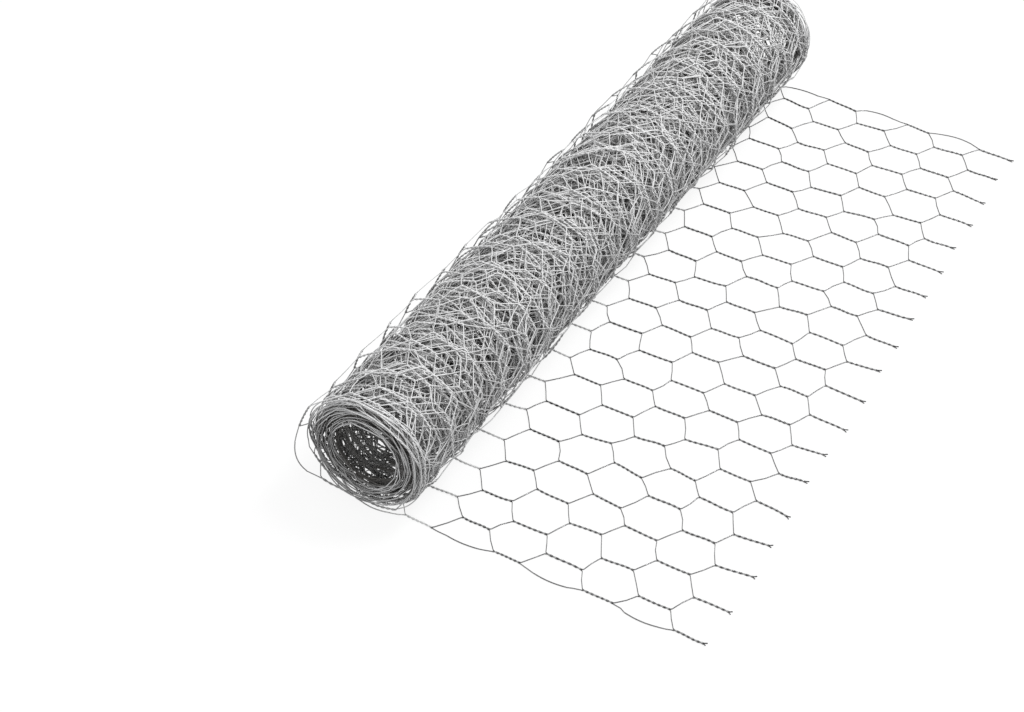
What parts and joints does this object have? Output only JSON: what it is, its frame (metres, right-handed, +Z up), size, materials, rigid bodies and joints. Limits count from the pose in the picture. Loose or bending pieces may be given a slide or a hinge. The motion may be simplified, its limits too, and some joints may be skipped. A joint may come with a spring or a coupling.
{
  "type": "roll of chicken wire",
  "caption": "Roll of galvanised hexagonal wire netting lying on its side, with an open core, one loose outer turn and its free end pulled out flat.",
  "frame": {"origin": "centre of the footprint at floor level", "axes": "+X along the roll and its open core, +Z up, the free end of the netting points to -Y"},
  "size_m": [0.9162, 0.4834, 0.1432],
  "materials": {
    "zinc": "galvanised wire, dull zinc grey with light spangle"
  },
  "bodies": {
    "root": {"wound_turns": "zinc", "outer_turn": "zinc", "loose_end": "zinc"}
  },
  "joints": []
}
